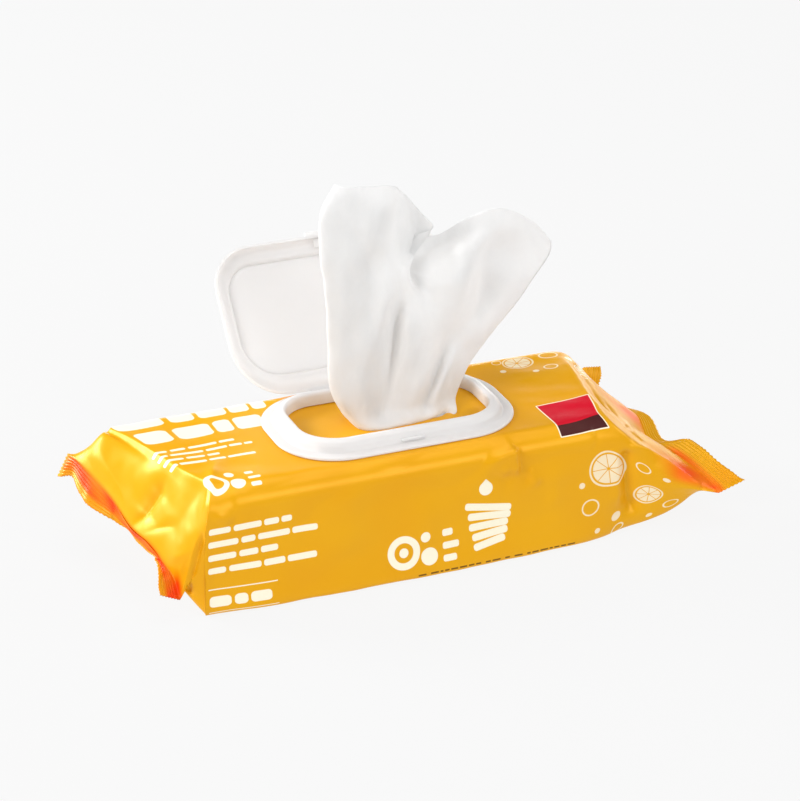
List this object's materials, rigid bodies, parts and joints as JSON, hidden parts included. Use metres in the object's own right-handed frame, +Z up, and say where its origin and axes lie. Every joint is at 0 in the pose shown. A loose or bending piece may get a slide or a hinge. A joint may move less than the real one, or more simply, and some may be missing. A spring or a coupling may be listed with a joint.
{
  "type": "wet wipes pack",
  "caption": "Soft film pack of wet wipes lying flat, with a moulded flip-top lid standing open on a living hinge and one wipe pulled up through the opening.",
  "frame": {"origin": "on the flat base of the pack, straight under the middle of the lid's frame", "axes": "+X along the pack towards the end whose seal stands out furthest, +Y to the back where the lid hinges, +Z up"},
  "size_m": [0.3116, 0.1431, 0.183],
  "materials": {
    "film": "printed pearlescent yellow-orange film, satin gloss",
    "moulded_plastic": "moulded white polypropylene, slightly translucent, satin",
    "wet_stack": "folded damp white nonwoven",
    "nonwoven": "damp white nonwoven, matte"
  },
  "bodies": {
    "pack": {"film_pouch": "film", "lid_frame": "moulded_plastic", "wipe_stack": "wet_stack", "top_wipe": "nonwoven"},
    "lid": {"flip_lid": "moulded_plastic"}
  },
  "joints": [
    {"name": "lid_hinge", "type": "hinge", "parent": "pack", "child": "lid", "pos_m": [0, 0.0376, 0.0628], "axis": [-1, 0, 0], "range_deg": [-128, 20], "deforming": ["top_wipe"]}
  ]
}
